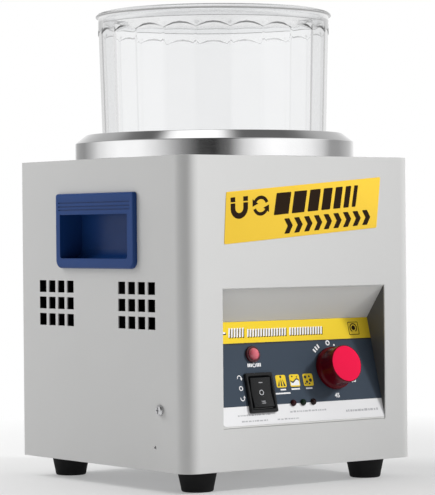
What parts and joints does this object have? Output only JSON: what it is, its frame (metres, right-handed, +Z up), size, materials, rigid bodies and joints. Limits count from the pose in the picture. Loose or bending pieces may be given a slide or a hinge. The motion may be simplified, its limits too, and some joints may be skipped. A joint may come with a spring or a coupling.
{
  "type": "magnetic tumbler",
  "caption": "Bench-top magnetic polishing tumbler: clear fluted barrel with lid on a polished collar, grey sheet cabinet with sloped control recess, recessed carrying handles and rubber feet.",
  "frame": {"origin": "centre of the footprint on the plane the rubber feet stand on, below the barrel axis", "axes": "+Z up along the barrel axis, -Y towards the user (control panel), +X to the user's right"},
  "size_m": [0.242, 0.2525, 0.3912],
  "materials": {
    "cabinet_paint": "satin",
    "zinc_sheet": "satin",
    "polished_metal": "polished",
    "seat_steel": "satin",
    "clear_plastic": "gloss",
    "handle_blue": "satin",
    "label_yellow": "gloss",
    "cheek_grey": "matte",
    "overlay_print": "satin",
    "black_plastic": "satin",
    "knob_red": "satin",
    "lens_red": "gloss",
    "led_clear": "gloss",
    "rubber_black": "matte",
    "screw_steel": "satin",
    "contact_brass": "satin",
    "motor_iron": "satin",
    "lamination": "matte",
    "bearing_steel": "polished",
    "disc_aluminium": "satin",
    "magnet_nickel": "satin",
    "board_green": "satin",
    "transformer": "matte",
    "capacitor": "gloss",
    "fuse_glass": "gloss"
  },
  "bodies": {
    "root": {"housing_shell": "cabinet_paint", "top_deck": "cabinet_paint", "rear_panel": "cabinet_paint", "console_pan": "cabinet_paint", "base_tray": "zinc_sheet", "motor_plate": "zinc_sheet", "collar_ring": "polished_metal", "barrel_seat": "seat_steel", "carry_handle_left": "handle_blue", "carry_handle_right": "handle_blue", "front_label": "label_yellow", "console_cheek_left": "cheek_grey", "console_cheek_right": "cheek_grey", "panel_overlay": "overlay_print", "rocker_bezel": "black_plastic", "rocker_terminals": "contact_brass", "timer_body": "black_plastic", "timer_nut": "screw_steel", "lamp_bezel": "black_plastic", "lamp_lens": "lens_red", "status_leds": "led_clear", "rubber_feet": "rubber_black", "foot_screws": "screw_steel", "foot_nuts": "screw_steel", "side_screws": "screw_steel", "rear_screws": "screw_steel", "collar_screws": "screw_steel", "plate_standoffs": "contact_brass", "standoff_screws": "screw_steel", "motor_casing": "motor_iron", "motor_bell_top": "motor_iron", "motor_bell_bottom": "motor_iron", "motor_stator": "lamination", "bearing_top": "bearing_steel", "bearing_bottom": "bearing_steel", "motor_screws": "screw_steel", "fan_frame": "black_plastic", "fan_guard": "bearing_steel", "fan_screws": "screw_steel", "inlet_socket": "black_plastic", "inlet_pins": "contact_brass", "inlet_screws": "screw_steel", "control_board": "board_green", "board_posts": "contact_brass", "board_transformer": "transformer", "board_capacitors": "capacitor"},
    "lid": {"barrel_lid": "clear_plastic"},
    "barrel": {"tumbling_barrel": "clear_plastic"},
    "rotor": {"motor_armature": "lamination", "motor_shaft": "screw_steel", "disc_hub": "disc_aluminium", "magnet_disc": "disc_aluminium", "disc_magnets": "magnet_nickel", "hub_screws": "screw_steel"},
    "timer_dial": {"timer_knob": "knob_red", "timer_shaft": "screw_steel"},
    "rocker": {"rocker_actuator": "black_plastic"},
    "impeller": {"fan_impeller": "black_plastic"},
    "fuse_tray": {"fuse_drawer": "black_plastic", "cartridge_fuse": "fuse_glass"}
  },
  "joints": [
    {"name": "barrel_lift", "type": "slide", "parent": "root", "child": "barrel", "axis": [0, 0, 1], "range_m": [0, 0.14]},
    {"name": "lid_lift", "type": "slide", "parent": "barrel", "child": "lid", "axis": [0, 0, 1], "range_m": [0, 0.06]},
    {"name": "disc_spin", "type": "hinge", "parent": "root", "child": "rotor", "pos_m": [0, 0, 0.25], "axis": [0, 0, 1], "continuous": true},
    {"name": "timer_turn", "type": "hinge", "parent": "root", "child": "timer_dial", "pos_m": [0.0397, -0.106, 0.09298], "axis": [0, -0.9656, 0.2602], "range_deg": [-240, 36]},
    {"name": "rocker_tilt", "type": "hinge", "parent": "root", "child": "rocker", "pos_m": [-0.039, -0.11037, 0.07676], "axis": [1, 0, 0], "range_deg": [-12, 12]},
    {"name": "fan_spin", "type": "hinge", "parent": "root", "child": "impeller", "pos_m": [0.058, 0.105, 0.15], "axis": [0, 1, 0], "continuous": true},
    {"name": "fuse_drawer_slide", "type": "slide", "parent": "root", "child": "fuse_tray", "axis": [0, 1, 0], "range_m": [0, 0.02]}
  ]
}
